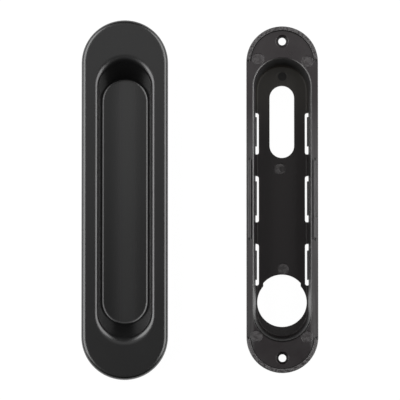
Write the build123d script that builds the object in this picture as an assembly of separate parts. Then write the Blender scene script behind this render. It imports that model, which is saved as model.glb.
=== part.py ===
from build123d import *
from math import acos, atan2, cos, radians, sin, tan
import os

# Flush pull handle of a sliding door in its two pieces: a cover pressed from steel sheet, and the moulded
# plastic base that is screwed into the door and holds the cover by six spring tongues.
# Each piece is modelled as it sits in the door: X across the handle, Y along it, Z out of the door, with
# the door's face at zero. Then the two are laid side by side, each on the underside of its pan. Millimetres.

# Cover: outline and sheet
cover_length = 150.0
cover_width = 36.0
sheet = 0.6
rim_drop = 3.4  # the turned-down rim, from the door's face to the top of the flange
edge_round = 1.9

# Cover: finger recess, measured where wall, flange and floor would meet if they had no roundings
recess_depth = 12.0
side_flange = 6.9
end_flange = 16.7
side_run = 1.15  # how far the wall comes in from flange to floor
end_run = 7.1
mouth_side_round = 1.6
mouth_end_round = 4.2  # the sheet is drawn in more gently at the round ends
mouth_steps = 8  # narrow bevels that make up the mouth's rounding
under_steps = 2  # and the rounding under it
floor_round = 1.4

# Base: plate
base_side_inset = 3.1  # the base's outline inside the cover's
base_end_inset = 2.8
plate = 2.0
seat_gap = 0.1  # between the end rims and the cover's flange
rim_width = 1.6
rim_stop = 1.0  # the rims end this far beyond the centres of the round ends
rib_length = 32.5
rib_width = 1.0
rib_height = 0.4
rib_inset = 1.25  # the rib's centre line inside the base's edge
pit_diameter = 1.1
pit_depth = 0.4
plate_bevel = 0.3

# Base: pan
lip_width = 0.5
lip_height = 0.3
side_clearance = 0.2  # beside the cover's pan, at the lip
end_clearance = 0.5
floor_clearance = 0.2  # under the cover's pan
side_draft = 5.2
end_draft = 9.5
wall = 1.2
floor = 1.5
pan_bevel = 0.6  # inside the pan, between wall and floor
lip_bevel = 0.15

# Base: screws
screw_inset = 6.2
screw_diameter = 3.2
countersink_diameter = 5.3
countersink_angle = 90.0

# Base: spring tongues, one to a notch, three notches to a side
notch_spacing = 27.4
notch_place = 0.9  # centre of the middle notch
notch_lengths = (17.4, 19.4, 17.4)
notch_reach = 1.1  # how far the notch reaches into the floor from the wall
notch_rise = 3.0  # top of the notch above the floor
notch_round = 0.9
tongue_spacing = 27.9
tongue_place = 1.1
tongue_shortfall = 5.2  # how much shorter the tongue is than its notch
tongue_lift = 0.7  # tip of the tongue above the floor
tongue_grip = 0.27  # how far a tip stands inside the line of the cover's pan
tongue_thickness = 1.1
tongue_round = 0.4

# Base: openings in the floor for a lock
latch_length = 30.25
latch_width = 10.25
latch_place = 33.3
lock_radius = 10.3
lock_place = -42.2
lobe_width = 15.6  # the lobe at the top of the lock hole
lobe_rise = 1.3

# Base: marks of the ejector pins
mark_diameter = 4.8
mark_depth = 0.15
plate_marks = ((-9.9, 58.6), (10.5, 57.5), (-10.8, -56.9), (10.2, -57.1))
floor_marks = ((0.0, 52.0), (-0.9, 13.6), (0.6, -28.3))

# Layout
piece_gap = 32.6

bevel_share = 2 - 2**0.5  # a bevel of this share of a radius touches the middle of that rounding
base_length = cover_length - 2 * base_end_inset
base_width = cover_width - 2 * base_side_inset
recess_length = cover_length - 2 * end_flange
recess_width = cover_width - 2 * side_flange
side_slope = atan2(recess_depth, side_run)
end_slope = atan2(recess_depth, end_run)
pan_bottom = rim_drop - recess_depth - sheet
base_floor = pan_bottom - floor_clearance
base_bottom = base_floor - floor
lip_top = plate + lip_height


def stadium(size, height):
    """A face with round ends, long along Y."""
    length, width = size
    return Pos(0, 0, height) * SlotOverall(length, width, rotation=90)


def prism(size, bottom, top):
    return extrude(stadium(size, bottom), top - bottom)


def tapered(lower, bottom, upper, top):
    return loft([stadium(lower, bottom), stadium(upper, top)], ruled=True)


def grown(size, margin):
    length, width = size
    return length + 2 * margin, width + 2 * margin


def rims_at(solid, height, size):
    """The edges at a height that lie within a length and width."""
    length, width = grown(size, 0.05)
    level = solid.edges().filter_by_position(Axis.Z, height - 0.01, height + 0.01)
    return level.filter_by(lambda edge: abs((edge @ 0.5).X) < width / 2 and abs((edge @ 0.5).Y) < length / 2)


def cover_pan(height, skin=0.0):
    """Length and width of the cover's recess at a height, or with a skin of the outside of its pan."""
    depth = rim_drop - height
    side = skin / sin(side_slope) - depth / tan(side_slope)
    end = skin / sin(end_slope) - depth / tan(end_slope)
    return recess_length + 2 * end, recess_width + 2 * side


def flare(depth, slope, radius):
    """How far the rounding at the top of a wall lies outside the wall's line, at a depth below its top."""
    if depth > radius * (1 - cos(slope)):
        return 0
    return depth / tan(slope) + radius * (tan(slope / 2) - sin(acos(1 - depth / radius)))


def cover_mouth(steps, skin=0.0):
    """Outlines up through the mouth's rounding, from the wall to the flange, or with a skin under it."""
    side = mouth_side_round - skin
    end = mouth_end_round - skin
    depths = [side * (1 - cos(side_slope * n / steps)) for n in range(steps + 1)]
    depths.append(end * (1 - cos(end_slope)))
    outlines = []
    for depth in reversed(depths):
        height = rim_drop - skin - depth
        length, width = cover_pan(height, skin)
        length += 2 * flare(depth, end_slope, end)
        width += 2 * flare(depth, side_slope, side)
        outlines.append(stadium((length, width), height))
    return outlines


def base_pan(height, skin=0.0):
    """Length and width of the inside of the base's pan at a height, or with a skin of its outside."""
    length, width = cover_pan(lip_top, sheet)
    depth = lip_top - height
    side = side_clearance + skin - depth * tan(radians(side_draft))
    end = end_clearance + skin - depth * tan(radians(end_draft))
    return length + 2 * end, width + 2 * side


def cover():
    outline = (cover_length, cover_width)
    flange_under = rim_drop - sheet
    tray = prism(outline, 0, rim_drop)
    tray = fillet(rims_at(tray, rim_drop, outline), edge_round)
    hollow = prism(grown(outline, -sheet), 0, flange_under)
    hollow = chamfer(rims_at(hollow, flange_under, outline), bevel_share * (edge_round - sheet))

    bottom = stadium(cover_pan(pan_bottom, sheet), pan_bottom)
    pan = loft([bottom] + cover_mouth(under_steps, sheet), ruled=True)
    pan = chamfer(rims_at(pan, pan_bottom, outline), bevel_share * (floor_round + sheet))
    pressing = tray - hollow + pan

    recess_floor = rim_drop - recess_depth
    bottom = stadium(cover_pan(recess_floor), recess_floor)
    recess = loft([bottom] + cover_mouth(mouth_steps), ruled=True)
    recess = fillet(rims_at(recess, recess_floor, outline), floor_round)
    return pressing - recess


def plate_with_rims():
    outline = (base_length, base_width)
    round_end = (base_length - base_width) / 2
    rim_top = rim_drop - sheet - seat_gap
    body = prism(outline, 0, rim_top)
    body = chamfer(rims_at(body, rim_top, outline), plate_bevel)
    body -= prism(grown(outline, -rim_width), plate, rim_top)
    body -= Pos(0, 0, plate) * Box(
        cover_width, 2 * (round_end + rim_stop), rim_top, align=(Align.CENTER, Align.CENTER, Align.MIN)
    )
    return body


def side_ribs():
    rib = extrude(SlotOverall(rib_length, rib_width, rotation=90), rib_height)
    rib = chamfer(rib.edges().group_by(Axis.Z)[-1], rib_height / 2)
    across = base_width / 2 - rib_inset
    return [Pos(x, 0, plate) * rib for x in (-across, across)]


def pan_and_plate():
    outline = (base_length, base_width)
    pan = tapered(base_pan(base_bottom, wall), base_bottom, base_pan(0, wall), 0)
    pan = chamfer(rims_at(pan, base_bottom, outline), pan_bevel + bevel_share * wall)
    lip = prism(grown(base_pan(lip_top), lip_width), 0, lip_top)
    lip = chamfer(rims_at(lip, lip_top, outline), lip_bevel)
    hollow = tapered(base_pan(base_floor), base_floor, base_pan(lip_top), lip_top)
    hollow = chamfer(rims_at(hollow, base_floor, outline), pan_bevel)
    body = plate_with_rims() + side_ribs() + pan + lip - hollow
    return chamfer(rims_at(body, lip_top, base_pan(lip_top)), lip_bevel)


def notch(length):
    """The space of one notch on the +X side, at the middle of the handle."""
    inner = base_pan(base_floor)[1] / 2 - notch_reach
    outer = base_width / 2 + notch_round
    opening = RectangleRounded(outer - inner, length, notch_round)
    height = floor + notch_rise
    return Pos((inner + outer) / 2, 0, base_bottom) * extrude(opening, height)


def tongue(notch_length):
    """One spring tongue on the +X side. It hangs from the top of its notch and leans into the pan."""
    top = base_floor + notch_rise
    tip = base_floor + tongue_lift
    top_face = base_pan(top)[1] / 2
    tip_face = cover_pan(tip, sheet)[1] / 2 - tongue_grip
    profile = Polygon(
        (top_face, top),
        (tip_face, tip),
        (tip_face + tongue_thickness, tip),
        (top_face + tongue_thickness, top),
        align=None,
    )
    blade = extrude(Plane.XZ * profile, (notch_length - tongue_shortfall) / 2, both=True)
    return fillet(blade.edges().filter_by(Axis.Y).group_by(Axis.Z)[0], tongue_round)


def for_each_notch(make, middle, spacing):
    """A notch, or its tongue, for each length of notch along both sides of the pan."""
    first = middle - spacing * (len(notch_lengths) - 1) / 2
    row = [Pos(0, first + spacing * n, 0) * make(length) for n, length in enumerate(notch_lengths)]
    return row + [mirror(piece, Plane.YZ) for piece in row]


def screw_hole():
    """Hole and countersink, with the face of the plate at zero."""
    depth = (countersink_diameter - screw_diameter) / 2 / tan(radians(countersink_angle / 2))
    flush = (Align.CENTER, Align.CENTER, Align.MAX)
    head = Cone(screw_diameter / 2, countersink_diameter / 2, depth, align=flush)
    return head + Cylinder(screw_diameter / 2, 2 * plate)


def lock_openings():
    latch = Pos(0, latch_place) * SlotOverall(latch_length, latch_width, rotation=90)
    lobe = Pos(0, lobe_rise) * Circle(lock_radius) & Rectangle(lobe_width, 4 * lock_radius)
    lock = Pos(0, lock_place) * (Circle(lock_radius) + lobe)
    return [Pos(0, 0, base_bottom) * extrude(opening, floor + pan_bevel) for opening in (latch, lock)]


def pin_marks():
    mark = Cylinder(mark_diameter / 2, 2 * mark_depth)
    on_plate = [Pos(x, y, plate) * mark for x, y in plate_marks]
    return on_plate + [Pos(x, y, base_floor) * mark for x, y in floor_marks]


def pits():
    """The small pits in the plate at the ends of the rims and of the ribs."""
    pit = Cylinder(pit_diameter / 2, 2 * pit_depth)
    rim_x = (base_width - rim_width) / 2
    rim_y = (base_length - base_width) / 2 + rim_stop - pit_diameter / 2
    rib_x = base_width / 2 - rib_inset
    rib_y = (rib_length + pit_diameter) / 2
    corners = [(x, y) for x in (-1, 1) for y in (-1, 1)]
    at_rims = [Pos(x * rim_x, y * rim_y, plate) * pit for x, y in corners]
    return at_rims + [Pos(x * rib_x, y * rib_y, plate) * pit for x, y in corners]


def base():
    body = pan_and_plate()
    body -= for_each_notch(notch, notch_place, notch_spacing)
    body += for_each_notch(tongue, tongue_place, tongue_spacing)
    body -= lock_openings()
    body -= pin_marks() + pits()
    screw = Pos(0, base_length / 2 - screw_inset, plate) * screw_hole()
    return body - [screw, Rot(0, 0, 180) * screw]


total_width = cover_width + piece_gap + base_width
pieces = {
    "cover": Pos((cover_width - total_width) / 2, 0, -pan_bottom) * cover(),
    "mounting_base": Pos((total_width - base_width) / 2, 0, -base_bottom) * base(),
}

os.makedirs("parts", exist_ok=True)
for name, piece in pieces.items():
    export_step(piece, f"parts/{name}.step")
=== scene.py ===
import math

import bpy
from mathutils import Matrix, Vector


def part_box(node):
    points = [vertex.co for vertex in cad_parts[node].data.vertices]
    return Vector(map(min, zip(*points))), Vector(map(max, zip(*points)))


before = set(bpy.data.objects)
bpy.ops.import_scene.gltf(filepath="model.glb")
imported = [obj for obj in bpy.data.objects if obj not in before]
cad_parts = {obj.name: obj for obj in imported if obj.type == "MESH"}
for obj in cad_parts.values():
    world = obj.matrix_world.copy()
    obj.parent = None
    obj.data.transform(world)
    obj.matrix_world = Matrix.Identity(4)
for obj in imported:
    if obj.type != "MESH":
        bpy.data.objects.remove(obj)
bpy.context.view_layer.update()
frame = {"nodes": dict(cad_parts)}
coverLow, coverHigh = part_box("cover")
baseLow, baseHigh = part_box("mounting_base")
baseCentre = (baseLow + baseHigh) / 2
print("frame loaded:", ", ".join(frame["nodes"]))

mm = 0.001
white = (1, 1, 1, 1)
noiseMiddle = 0.5  # noise runs evenly to both sides of this


# A shader value: sums, differences and products of these add the Math nodes that they need
class Wire:
    def __init__(self, tree, socket):
        self.tree = tree
        self.socket = socket

    def maths(self, operation, first, second):
        return self.tree.node("ShaderNodeMath", {"operation": operation}, {0: first, 1: second})

    def __add__(self, other):
        return self.maths("ADD", self, other)

    def __sub__(self, other):
        return self.maths("SUBTRACT", self, other)

    def __mul__(self, other):
        return self.maths("MULTIPLY", self, other)

    def __rsub__(self, other):
        return self.maths("SUBTRACT", other, self)

    __radd__ = __add__
    __rmul__ = __mul__


class NodeTree:
    def __init__(self, owner):
        owner.use_nodes = True
        self.nodes = owner.node_tree.nodes
        self.links = owner.node_tree.links
        self.nodes.clear()

    # One way to make any node: its settings first, then its sockets, by name or number
    def node(self, kind, settings=None, sockets=None, output=0):
        made = self.nodes.new(kind)
        for name, value in (settings or {}).items():
            setattr(made, name, value)
        for name, value in (sockets or {}).items():
            if isinstance(value, Wire):
                self.links.new(value.socket, made.inputs[name])
            else:
                made.inputs[name].default_value = value
        return Wire(self, made.outputs[output]) if len(made.outputs) else None

    # 0 below start and 1 above end
    def step(self, value, start, end):
        smooth = {"interpolation_type": "SMOOTHSTEP"}
        return self.node("ShaderNodeMapRange", smooth, {"Value": value, "From Min": start, "From Max": end})

    # 1 from the second to the third of four edges, and 0 outside the first and the last
    def band(self, value, edges):
        return self.step(value, *edges[:2]) * (1 - self.step(value, *edges[2:]))

    def part(self, vector, axis):
        return self.node("ShaderNodeSeparateXYZ", {}, {"Vector": vector}, output=axis)

    def absolute(self, value):
        return self.node("ShaderNodeMath", {"operation": "ABSOLUTE"}, {0: value})

    def larger(self, first, second):
        return self.node("ShaderNodeMath", {"operation": "MAXIMUM"}, {0: first, 1: second})

    def noise(self, place, grainSize, detail, stretch=(1, 1, 1)):
        turned = self.node("ShaderNodeMapping", {}, {"Vector": place, "Scale": stretch})
        sockets = {"Vector": turned, "Scale": 1 / grainSize, "Detail": detail}
        return self.node("ShaderNodeTexNoise", {}, sockets)

    # A bump on top of edges that look a little rounded
    def bump(self, height, depth, edge):
        rounded = self.node("ShaderNodeBevel", {"samples": 8}, {"Radius": edge})
        return self.node("ShaderNodeBump", {}, {"Height": height, "Distance": depth, "Normal": rounded})

    # The colours of a Mix node are its sockets 6 and 7, and their mix is its output 2
    def mixColour(self, amount, low, high):
        return self.node("ShaderNodeMix", {"data_type": "RGBA"}, {0: amount, 6: low, 7: high}, output=2)

    def ray(self, kind):
        return self.node("ShaderNodeLightPath", output=f"Is {kind} Ray")

    # 1 where the camera looks, straight, in a reflection or through glass
    def seen(self):
        return self.ray("Camera") + self.ray("Glossy") + self.ray("Transmission")

    def surface(self, shader):
        self.node("ShaderNodeOutputMaterial", {}, {"Surface": shader})

    # One surface with two strengths of reflection, mixed by how dull it is
    def coated(self, sockets, look, dullness):
        level = "Specular IOR Level"
        glossy = self.node("ShaderNodeBsdfPrincipled", {}, {**sockets, level: look["specular"]})
        dull = self.node("ShaderNodeBsdfPrincipled", {}, {**sockets, level: look["dullSpecular"]})
        self.surface(self.node("ShaderNodeMixShader", {}, {0: dullness, 1: glossy, 2: dull}))


def newMaterial(name):
    material = bpy.data.materials.new(name)
    return material, NodeTree(material)


def dress(piece, material):
    piece.data.materials.clear()
    piece.data.materials.append(material)


# Camera: a long lens nearly straight above, a little towards the near end of the handle
cameraLook = {
    "tilt": 4.2,
    "distance": 2.5,
    "pixelsPerMm": 2.406,
    "imageSize": 400,
    "aim": Vector((0.1, -0.28, 12.9)) * mm,
    "sensor": 36.0,
    "clip": (0.01, 20),
}


def makeCamera(look):
    data = bpy.data.cameras.new("camera")
    camera = bpy.data.objects.new("camera", data)
    bpy.context.scene.collection.objects.link(camera)
    tilt = math.radians(look["tilt"])
    back = Vector((0, -math.sin(tilt), math.cos(tilt)))
    camera.location = look["aim"] + back * look["distance"]
    camera.rotation_euler = (tilt, 0, 0)
    width = look["imageSize"] / look["pixelsPerMm"] * mm
    data.sensor_width = look["sensor"]
    data.lens = look["sensor"] * look["distance"] / width
    data.clip_start, data.clip_end = look["clip"]
    bpy.context.scene.camera = camera


makeCamera(cameraLook)
print("camera made")


# Studio: a large light panel on each side and a softbox above, all nearer to the far end. Reflections show
# the white backdrop below the horizon, and above it a grey ceiling, which is paler towards the near end and
# dark beyond it. Everything is lit by an even grey surround as well
studioLook = {
    "panels": {
        "angle": 49,
        "distance": 0.7,
        "along": 0.26,
        "width": 0.58,
        "length": 1.15,
        "powers": (6.9, 6.1),
    },
    "softbox": {"height": 0.7, "along": 0.35, "width": 0.8, "length": 0.6, "power": 0.46},
    "surround": 0.12,
    "horizon": (-0.3, 0.0),
    "ceiling": 0.095,
    "nearCeiling": 0.11,
    "nearFrom": (0.15, 0.4),
    "dimFrom": (0.45, 0.85),
}


# Its length runs along Y, and its turn is about Y
def areaLight(name, place, turn, width, length, power):
    data = bpy.data.lights.new(name, "AREA")
    data.shape = "RECTANGLE"
    data.size, data.size_y, data.energy = width, length, power
    light = bpy.data.objects.new(name, data)
    bpy.context.scene.collection.objects.link(light)
    light.location = place
    light.rotation_euler = (0, turn, 0)


def makeWorld(look):
    world = bpy.data.worlds.new("studio")
    bpy.context.scene.world = world
    tree = NodeTree(world)
    direction = tree.node("ShaderNodeTexCoord", output="Generated")
    overhead = tree.step(tree.part(direction, "Z"), *look["horizon"])
    near = 0 - tree.part(direction, "Y")
    lit = 1 - tree.step(near, *look["dimFrom"])
    ceiling = lit * (look["ceiling"] + look["nearCeiling"] * tree.step(near, *look["nearFrom"]))
    strength = 1 - (1 - tree.ray("Camera")) * overhead * (1 - ceiling)
    backdrop = tree.node("ShaderNodeBackground", {}, {"Color": white, "Strength": strength})
    surround = tree.node("ShaderNodeBackground", {}, {"Color": white, "Strength": look["surround"]})
    mixed = tree.node("ShaderNodeMixShader", {}, {0: tree.seen(), 1: surround, 2: backdrop})
    tree.node("ShaderNodeOutputWorld", {}, {"Surface": mixed})


def makeStudio(look):
    panels = look["panels"]
    angle = math.radians(panels["angle"])
    for name, side, power in zip(("leftPanel", "rightPanel"), (-1, 1), panels["powers"]):
        outwards = Vector((side * math.sin(angle), 0, math.cos(angle)))
        place = Vector((0, panels["along"], 0)) + outwards * panels["distance"]
        areaLight(name, place, side * angle, panels["width"], panels["length"], power)
    box = look["softbox"]
    areaLight("softbox", (0, box["along"], box["height"]), 0, box["width"], box["length"], box["power"])
    makeWorld(look)


makeStudio(studioLook)


# Floor: white to the camera, with the faint shadow of the pieces left in it. It lies a hair below them, so
# that it doesn't fight with the undersides of their pans
floorLook = {"size": 4.0, "drop": 0.02 * mm, "glow": 0.965, "shade": 0.06, "bounce": 0.8}


def makeFloor(look):
    bpy.ops.mesh.primitive_plane_add(size=look["size"], location=(0, 0, -look["drop"]))
    floor = bpy.context.object
    floor.name = "floor"
    material, tree = newMaterial("whiteTable")
    bounce = tree.node("ShaderNodeBsdfDiffuse", {}, {"Color": (look["bounce"],) * 3 + (1,)})
    shade = tree.node("ShaderNodeBsdfDiffuse", {}, {"Color": (look["shade"],) * 3 + (1,)})
    glow = tree.node("ShaderNodeEmission", {}, {"Color": white, "Strength": look["glow"]})
    shown = tree.node("ShaderNodeAddShader", {}, {0: shade, 1: glow})
    tree.surface(tree.node("ShaderNodeMixShader", {}, {0: tree.seen(), 1: bounce, 2: shown}))
    dress(floor, material)


makeFloor(floorLook)
print("studio and floor made")


# Cover: satin black paint on steel, with the slight unevenness that paint dries to. The walls of the recess
# are duller than the rest, and its floor has a soft sheen along the middle. Its floor and walls are painted
# paler than the paint outside, as painted light
paintLook = {
    "colour": (0.0040, 0.0040, 0.0041, 1),
    "paler": (0.0050, 0.0050, 0.0051, 1),
    "driftSize": 22 * mm,
    # painted light: the recess floor is paler than the paint outside
    "recess": (0.0070, 0.0070, 0.0071, 1),
    "recessHeights": (0.65 * mm, 0.9 * mm),
    "sheen": 0.65,
    "sheenLoss": 0.9,
    "sheenMiddle": 1.0 * mm,
    "sheenAcross": (1.5 * mm, 6.5 * mm),
    "sheenRoughness": 0.30,
    # painted light: the recess walls are paler than the paint outside
    "wall": (0.0070, 0.0070, 0.0071, 1),
    "wallHeights": (0.6 * mm, 0.9 * mm, 10.2 * mm, 10.8 * mm),
    "specular": 1.0,
    "dullSpecular": 0.2,
    "roughness": 0.26,
    "roughnessSpread": 0.04,
    "peelSize": 0.9 * mm,
    "peelDepth": 0.0004 * mm,
    "edge": 0.1 * mm,
}


def paintMaterial(look):
    material, tree = newMaterial("satinBlackPaint")
    place = tree.node("ShaderNodeTexCoord", output="Object")
    peel = tree.noise(place, look["peelSize"], detail=1.0)
    drift = tree.noise(place, look["driftSize"], detail=3.0)
    height = tree.part(place, "Z")
    inRecess = 1 - tree.step(height, *look["recessHeights"])
    onWall = tree.band(height, look["wallHeights"])
    middle = (coverLow.x + coverHigh.x) / 2 + look["sheenMiddle"]
    across = tree.absolute(tree.part(place, "X") - middle)
    sheen = look["sheen"] * inRecess * (1 - look["sheenLoss"] * tree.step(across, *look["sheenAcross"]))
    colour = tree.mixColour(drift, look["colour"], look["paler"])
    # Painted light: the walls and the recess floor are paler than the rest
    colour = tree.mixColour(onWall, colour, look["wall"])
    sockets = {
        "Base Color": tree.mixColour(inRecess, colour, look["recess"]),
        "Roughness": look["roughness"] + (drift - noiseMiddle) * look["roughnessSpread"],
        "Coat Weight": sheen,
        "Coat Roughness": look["sheenRoughness"],
        "Normal": tree.bump(peel, look["peelDepth"], look["edge"]),
    }
    tree.coated(sockets, look, onWall)
    return material


dress(frame["nodes"]["cover"], paintMaterial(paintLook))
print("cover painted")


# Base: moulded black plastic with a trace of red. The plate has a cloudy gloss, with painted light in pale
# streaks along the middle of its sides and painted shade towards its near end. Its rims and the marks of the
# ejector pins are rough, the lip around the pan has a painted highlight, and the pan is plain and duller,
# with painted light at both ends and on its tongues. Painted shade darkens the gutters beside the ribs and
# the foot of the rims. Heights are from the top of the rims, except those of the pan's walls and tongues.
# Places are from the base's centre, and spots and tongues are in mm
plasticLook = {
    "pan": (0.0036, 0.0015, 0.0018, 1),
    # painted light: the pan is paler towards the far end and at the near end, and so are its walls towards
    # the far end
    "panFarPaintedLight": (0.0225, 0.0197, 0.0157, 1),
    "panNearPaintedLight": (0.0125, 0.0103, 0.0105, 1),
    "wall": (0.0065, 0.0062, 0.0062, 1),
    "wallFarPaintedLight": (0.0160, 0.0155, 0.0155, 1),
    "farFrom": (25 * mm, 55 * mm),
    "wallAbove": (2.0 * mm, 2.8 * mm),
    "panRoughness": 0.38,
    "panDull": 0.62,
    # painted light on the tongues' blades, paler on the left
    "leftTongueLit": (0.0800, 0.0785, 0.0770, 1),
    "rightTongueLit": (0.0400, 0.0392, 0.0385, 1),
    "tongues": ((29.0, 6.1), (1.1, 7.1), (-26.8, 6.1)),  # the middle and half the length
    "tongueFade": 0.2,  # mm
    "tongueBelow": (4.4 * mm, 4.8 * mm),
    "tongueFacing": 2 * mm,
    "plate": (0.0064, 0.0031, 0.0041, 1),
    "platePaler": (0.0120, 0.0087, 0.0097, 1),
    # painted shade: the plate is darker towards the near end
    "plateNearShade": (0.0045, 0.0018, 0.0026, 1),
    "plateNearShadeFrom": (-58 * mm, -48 * mm),
    "plateHeights": (-1.3 * mm, -0.9 * mm),
    "plateRoughness": 0.31,
    "plateRoughnessSpread": 0.16,
    "cloudSize": 9 * mm,
    # painted light: pale streaky bands along the middle of both sides, paler on the right
    "leftSideLight": (0.0400, 0.0382, 0.0388, 1),
    "rightSideLight": (0.0600, 0.0580, 0.0585, 1),
    "sideLightAlong": (15 * mm, 45 * mm),
    "sideLightAcross": (11.2 * mm, 12.4 * mm),
    "sideLightLeast": 0.1,
    "sideLightStreak": 1.2,
    "streakSize": 0.8 * mm,
    "streakStretch": (1, 0.03, 1),
    "rough": (0.0440, 0.0398, 0.0408, 1),
    "roughRoughness": 0.50,
    "rimHeights": (-0.25 * mm, -0.125 * mm),
    "rimLeast": 0.1,
    "rimLumps": 0.9,
    "lumpEdges": (0.38, 0.62),
    "lumpSize": 0.8 * mm,
    "lumpDepth": 0.09 * mm,
    "marks": ((-9.9, 58.6), (10.5, 57.5), (-10.8, -56.9), (10.2, -57.1), (-0.9, 13.6), (0.6, -28.3)),
    "markRadius": 2.3 * mm,
    "markLeast": 0.2,
    "markPatches": 0.4,
    "patchEdges": (0.4, 0.6),
    "patchSize": 1.6 * mm,
    "markOnPan": 2.6,
    "hollow": (0.1, 13.5),
    "hollowRadius": 1.35 * mm,
    "hollowDepth": 0.8,
    "darkMark": (0.2, 52.3),
    "darkMarkRadius": 2.0 * mm,
    "darkMarkStrength": 0.85,
    # painted highlight on the lip: at the left and right sides, at the ends' corners and in the middle of the
    # ends
    "leftLipHighlight": (0.1150, 0.1130, 0.1110, 1),
    "rightLipHighlight": (0.0300, 0.0295, 0.0290, 1),
    "endLipHighlight": (0.1000, 0.0980, 0.0960, 1),
    "middleLipFaintHighlight": (0.0080, 0.0078, 0.0077, 1),
    "lipHeights": (-0.52 * mm, -0.42 * mm),
    "endAlong": (44 * mm, 52 * mm),
    "endAcross": (2 * mm, 9 * mm),
    "nearLipDull": 1.0,
    "innerFacing": (0.1, 0.3),
    # the dark mark's colour, also used for the painted shade in the gutters and at the foot of the rims
    "blackMarkAndShade": (0.0020, 0.0020, 0.0020, 1),
    "gutterAcross": (12.5 * mm, 12.6 * mm, 12.9 * mm, 13.05 * mm),
    "gutterAlong": (16.2 * mm, 17.0 * mm),
    "rimArcCentre": 57.3 * mm,
    "rimFootShadeRadii": (12.95 * mm, 13.05 * mm, 13.25 * mm, 13.32 * mm),
    "rimFootShadeFade": 0.5 * mm,
    "specular": 1.0,
    "dullSpecular": 0.2,
    "upFacing": (0, 0.5),
    "middleFade": 1 * mm,
    "grainSize": 0.5 * mm,
    "grainDepth": 0.003 * mm,
    "edge": 0.2 * mm,
}

discEdge = 0.85  # the share of its radius from which a disc fades out


# 1 on a flat disc of the base, with its spot in mm
def disc(tree, place, spot, radius):
    flat = tree.node("ShaderNodeVectorMath", {"operation": "MULTIPLY"}, {0: place, 1: (1, 1, 0)})
    middle = (baseCentre.x + spot[0] * mm, baseCentre.y + spot[1] * mm, 0)
    away = tree.node("ShaderNodeVectorMath", {"operation": "DISTANCE"}, {0: flat, 1: middle}, output="Value")
    return 1 - tree.step(away, discEdge * radius, radius)


# The rough marks of the ejector pins, patchy, and one of them with a hollow in it
def roughMarks(tree, place, look):
    mask = disc(tree, place, look["marks"][0], look["markRadius"])
    for spot in look["marks"][1:]:
        mask = tree.larger(mask, disc(tree, place, spot, look["markRadius"]))
    mask = mask * (1 - look["hollowDepth"] * disc(tree, place, look["hollow"], look["hollowRadius"]))
    patches = tree.step(tree.noise(place, look["patchSize"], detail=1.0), *look["patchEdges"])
    return mask * (look["markLeast"] + look["markPatches"] * patches)


# 1 on the blades of the tongues, on the side that faces the pan
def tongueMask(tree, place, normal, along, look):
    mask = None
    for middle, half in look["tongues"]:
        edges = ((half - look["tongueFade"]) * mm, (half + look["tongueFade"]) * mm)
        inside = 1 - tree.step(tree.absolute(along - middle * mm), *edges)
        mask = tree.larger(mask, inside) if mask else inside
    outwards = tree.part(normal, "X") * (tree.part(place, "X") - baseCentre.x)
    low = 1 - tree.step(tree.part(place, "Z"), *look["tongueBelow"])
    return mask * low * tree.step(0 - outwards, 0, look["tongueFacing"])


# Painted shade in the gutters beside the ribs along the sides, and at the foot of the rims around the ends
def gutterShadeMask(tree, along, across, look):
    gutterShade = tree.band(across, look["gutterAcross"])
    gutterShade = gutterShade * (1 - tree.step(tree.absolute(along), *look["gutterAlong"]))
    beyond = tree.larger(tree.absolute(along) - look["rimArcCentre"], 0)
    radius = tree.node("ShaderNodeMath", {"operation": "SQRT"}, {0: across * across + beyond * beyond})
    rimFootShade = tree.band(radius, look["rimFootShadeRadii"]) * tree.step(beyond, 0, look["rimFootShadeFade"])
    return tree.larger(gutterShade, rimFootShade)


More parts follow.
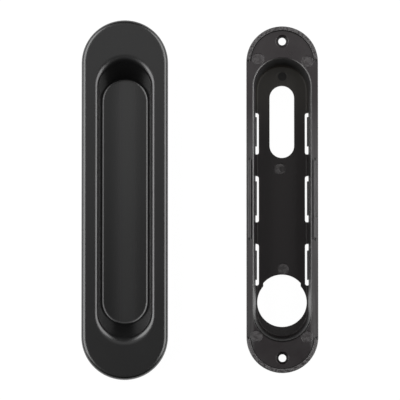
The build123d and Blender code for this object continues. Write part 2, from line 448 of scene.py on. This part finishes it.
def plasticMaterial(look):
    material, tree = newMaterial("mouldedBlackPlastic")
    place = tree.node("ShaderNodeTexCoord", output="Object")
    normal = tree.node("ShaderNodeNewGeometry", output="True Normal")
    height = tree.part(place, "Z") - baseHigh.z
    along = tree.part(place, "Y") - baseCentre.y
    across = tree.absolute(tree.part(place, "X") - baseCentre.x)

    # Where things are
    left, right = baseCentre.x - look["middleFade"], baseCentre.x + look["middleFade"]
    onRight = tree.step(tree.part(place, "X"), left, right)
    onEnd = tree.step(tree.absolute(along), *look["endAlong"])
    onNearEnd = tree.step(0 - along, *look["endAlong"])
    farEnd = tree.step(along, *look["farFrom"])
    upwards = tree.step(tree.part(normal, "Z"), *look["upFacing"])
    onPlate = tree.step(height, *look["plateHeights"])
    onRim = tree.step(height, *look["rimHeights"])
    atLipHeight = tree.step(height, *look["lipHeights"]) - onRim
    onLip = atLipHeight * (1 - tree.step(across, *look["gutterAcross"][:2]))
    onWall = tree.step(tree.part(place, "Z"), *look["wallAbove"])
    gutterShade = gutterShadeMask(tree, along, across, look) * onPlate
    sideLight = tree.step(across, *look["sideLightAcross"]) * (1 - tree.step(along, *look["sideLightAlong"]))
    darkMark = disc(tree, place, look["darkMark"], look["darkMarkRadius"])
    darkMark = darkMark * upwards * look["darkMarkStrength"]

    cloud = tree.noise(place, look["cloudSize"], detail=3.0)
    streak = tree.noise(place, look["streakSize"], detail=2.0, stretch=look["streakStretch"])
    grain = tree.noise(place, look["grainSize"], detail=2.0)
    lumps = tree.noise(place, look["lumpSize"], detail=1.0)
    marks = roughMarks(tree, place, look) * upwards
    marks = marks * (look["markOnPan"] - (look["markOnPan"] - 1) * onPlate)
    rim = onRim * (look["rimLeast"] + look["rimLumps"] * tree.step(lumps, *look["lumpEdges"]))
    rough = tree.larger(rim, marks)

    # Plate, darker towards its near end as painted shade, with painted light along its sides
    plate = tree.mixColour(cloud, look["plate"], look["platePaler"])
    plate = tree.mixColour(tree.step(along, *look["plateNearShadeFrom"]), look["plateNearShade"], plate)
    # Painted light along the middle of the sides, broken into streaks
    sideLightColour = tree.mixColour(onRight, look["leftSideLight"], look["rightSideLight"])
    streaks = sideLight * (look["sideLightLeast"] + look["sideLightStreak"] * streak)
    plate = tree.mixColour(streaks, plate, sideLightColour)

    # Pan, with its walls and tongues. Painted light makes it paler towards both ends and on the tongues
    ground = tree.mixColour(farEnd, look["pan"], look["panFarPaintedLight"])
    ground = tree.mixColour(onNearEnd, ground, look["panNearPaintedLight"])
    wall = tree.mixColour(farEnd, look["wall"], look["wallFarPaintedLight"])
    # Painted light on the blades of the tongues
    litTongue = tree.mixColour(onRight, look["leftTongueLit"], look["rightTongueLit"])
    wall = tree.mixColour(tongueMask(tree, place, normal, along, look), wall, litTongue)
    pan = tree.mixColour(onWall, ground, wall)
    pan = tree.mixColour(darkMark, pan, look["blackMarkAndShade"])

    # Painted highlight on the lip around the pan: strong at the sides, more so on the left, and at the far
    # end's corners, and faint in the middle of the ends
    atCorner = tree.step(across, *look["endAcross"]) * (1 - onNearEnd)
    endLipHighlight = tree.mixColour(atCorner, look["middleLipFaintHighlight"], look["endLipHighlight"])
    lip = tree.mixColour(onRight, look["leftLipHighlight"], look["rightLipHighlight"])
    lip = tree.mixColour(onEnd, lip, endLipHighlight)

    colour = tree.mixColour(onPlate, pan, plate)
    for amount, added in ((rough, look["rough"]), (gutterShade, look["blackMarkAndShade"]), (onLip, lip)):
        colour = tree.mixColour(amount, colour, added)
    plateRoughness = look["plateRoughness"] + (cloud - noiseMiddle) * look["plateRoughnessSpread"]
    roughness = look["panRoughness"] + (plateRoughness - look["panRoughness"]) * onPlate
    roughness = roughness + (look["roughRoughness"] - roughness) * rough
    relief = grain * look["grainDepth"] * onPlate + lumps * rough * look["lumpDepth"]

    # The pan is dull, and so are the near end's lip with the side that faces the pan, the dark mark, and the
    # painted shade beside the ribs and rims
    innerSide = tree.step(tree.part(normal, "Y"), *look["innerFacing"])
    nearLip = onNearEnd * tree.larger(onLip, innerSide) * look["nearLipDull"]
    dullness = tree.larger((1 - onPlate) * look["panDull"], darkMark)
    dullness = tree.larger(tree.larger(dullness, nearLip), gutterShade)
    sockets = {
        "Base Color": colour,
        "Roughness": roughness,
        "Normal": tree.bump(relief, 1.0, look["edge"]),  # the relief is in metres already
    }
    tree.coated(sockets, look, dullness)
    return material


dress(frame["nodes"]["mounting_base"], plasticMaterial(plasticLook))
print("base finished")

bpy.context.scene.view_settings.view_transform = "Standard"
